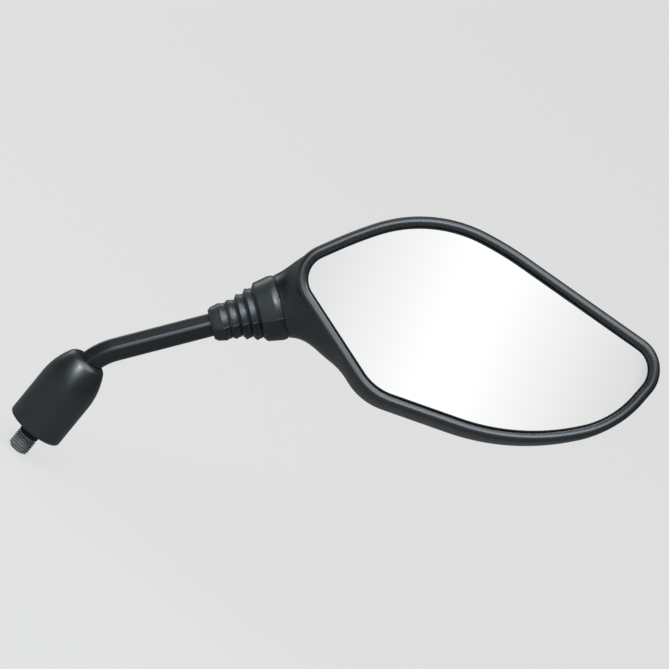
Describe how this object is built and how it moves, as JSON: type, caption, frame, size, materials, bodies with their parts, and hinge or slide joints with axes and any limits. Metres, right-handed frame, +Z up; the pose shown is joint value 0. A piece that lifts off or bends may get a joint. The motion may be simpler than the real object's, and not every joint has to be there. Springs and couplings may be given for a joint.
{
  "type": "motorcycle mirror",
  "caption": "Handlebar mirror with an M10 stud, a bent stem, a ball joint under a ribbed bellows and a moulded head with convex glass.",
  "frame": {"origin": "on the stud's axis, at the shoulder of the hex adapter, where the stud starts", "axes": "+Z up along the stud's axis towards the stem, the stud points to -Z; the glass faces -Y, and +X points to the side that the head stands out to"},
  "size_m": [0.2188, 0.0669, 0.2192],
  "materials": {
    "zinc_steel": "zinc plated",
    "black_steel": "satin black paint",
    "rubber": "matt moulded rubber",
    "nylon": "plain nylon",
    "shell_plastic": "satin fine grain",
    "carrier_plastic": "matt",
    "foam": "foam tape",
    "mirror": "chromed convex glass"
  },
  "bodies": {
    "adapter": {"hex_adapter": "zinc_steel"},
    "stem": {"stem": "black_steel", "lock_nut": "zinc_steel", "lock_washer": "zinc_steel", "base_boot": "rubber", "bellows_boot": "rubber"},
    "cup_rear": {"ball_cup_rear": "nylon"},
    "cup_front": {"ball_cup_front": "nylon"},
    "head": {"ball_bracket": "zinc_steel", "clamp_plate": "zinc_steel", "clamp_screws": "zinc_steel", "spring_washers": "zinc_steel", "clamp_nuts": "zinc_steel", "bracket_screws": "zinc_steel", "head_shell": "shell_plastic", "glass_carrier": "carrier_plastic", "carrier_screws": "zinc_steel", "adhesive_pad": "foam", "mirror_glass": "mirror", "glass_gasket": "rubber"}
  },
  "joints": [
    {"name": "stem_turn", "type": "hinge", "parent": "adapter", "child": "stem", "pos_m": [0, 0, 0.016], "axis": [0, 0, 1], "range_deg": [-60, 60]},
    {"name": "head_turn", "type": "hinge", "parent": "stem", "child": "cup_rear", "pos_m": [0.05731, 0.02086, 0.11556], "axis": [-0.8092, 0.1518, 0.5676], "range_deg": [-12, 12], "deforming": ["bellows_boot"]},
    {"name": "head_swing", "type": "hinge", "parent": "cup_rear", "child": "cup_front", "pos_m": [0.05731, 0.02086, 0.11556], "axis": [0.0029, -0.965, 0.2623], "range_deg": [-12, 12]},
    {"name": "head_tilt", "type": "hinge", "parent": "cup_front", "child": "head", "pos_m": [0.05731, 0.02086, 0.11556], "axis": [0.5875, 0.2138, 0.7804], "range_deg": [-15, 15]}
  ]
}
